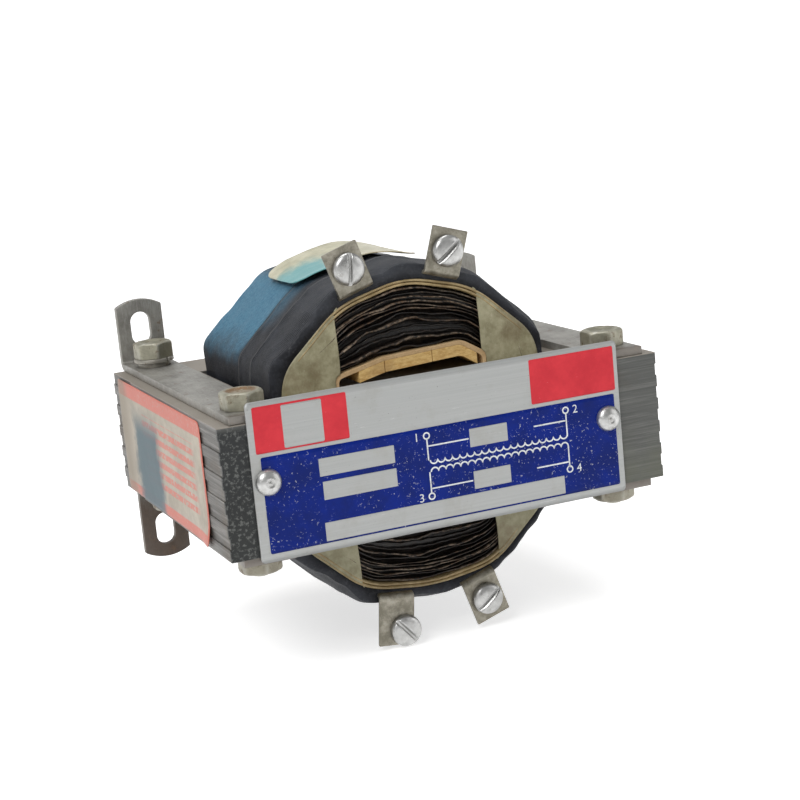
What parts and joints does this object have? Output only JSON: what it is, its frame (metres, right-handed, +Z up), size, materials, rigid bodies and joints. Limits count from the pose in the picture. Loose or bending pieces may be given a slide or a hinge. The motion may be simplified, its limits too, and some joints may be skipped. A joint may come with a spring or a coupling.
{
  "type": "open dry-type control transformer",
  "caption": "Small open dry-type control transformer: interleaved E-I core, taped coil with screw terminals, and strip brackets with slotted tabs for a panel.",
  "frame": {"origin": "centre of the upper left mounting slot, on the rear face of its tab, where it meets the panel", "axes": "+Y out of the rear, into the panel; +Z up along the bolts; +X to the right as seen from the nameplate side"},
  "size_m": [0.1146, 0.1006, 0.1038],
  "materials": {
    "core_steel": "dull ground silicon steel with fine lamination lines and light rust",
    "zinc_strip": "dull zinc plate, stained and rusting at the edges",
    "zinc_hardware": "dull yellowish zinc",
    "washer_steel": "dull zinc",
    "former_board": "varnished pressboard",
    "wedge_wood": "varnished wood",
    "winding_layers": "varnished layer insulation and windings seen edge on, dark",
    "kraft_paper": "varnished kraft paper, stained",
    "black_tape": "black cloth tape, varnished",
    "top_label_paper": "aged cream paper",
    "side_label_paper": "aged paper with red bands, blank",
    "plate_metal": "printed aluminium, blue and red fields, scratched",
    "bright_screw": "bright plate, lightly worn",
    "tinned_lug": "tinned, dull"
  },
  "bodies": {
    "root": {"core_e_laminations": "core_steel", "core_i_laminations": "core_steel", "bracket_top_left": "zinc_strip", "bracket_top_right": "zinc_strip", "bracket_bottom_left": "zinc_strip", "bracket_bottom_right": "zinc_strip", "bolt_front_left": "zinc_hardware", "bolt_front_right": "zinc_hardware", "bolt_rear_left": "zinc_hardware", "bolt_rear_right": "zinc_hardware", "nut_front_left": "zinc_hardware", "nut_front_right": "zinc_hardware", "nut_rear_left": "zinc_hardware", "nut_rear_right": "zinc_hardware", "flat_washer_rear_left": "washer_steel", "flat_washer_rear_right": "washer_steel", "lock_washer_rear_left": "washer_steel", "lock_washer_rear_right": "washer_steel", "coil_former": "former_board", "wedge_block_top": "wedge_wood", "wedge_block_bottom": "wedge_wood", "inner_winding": "winding_layers", "outer_winding": "winding_layers", "kraft_wrap": "kraft_paper", "end_paper_front_left": "kraft_paper", "end_paper_front_right": "kraft_paper", "end_paper_rear_left": "kraft_paper", "end_paper_rear_right": "kraft_paper", "tape_band_front": "black_tape", "tape_band_middle": "black_tape", "tape_band_rear": "black_tape", "coil_top_label": "top_label_paper", "nameplate": "plate_metal", "drive_screw_left": "bright_screw", "drive_screw_right": "bright_screw", "side_label": "side_label_paper", "terminal_lug_top_left": "tinned_lug", "terminal_lug_top_right": "tinned_lug", "terminal_lug_bottom_left": "tinned_lug", "terminal_lug_bottom_right": "tinned_lug", "terminal_screw_top_left": "bright_screw", "terminal_screw_top_right": "bright_screw", "terminal_screw_bottom_left": "bright_screw", "terminal_screw_bottom_right": "bright_screw"}
  },
  "joints": []
}
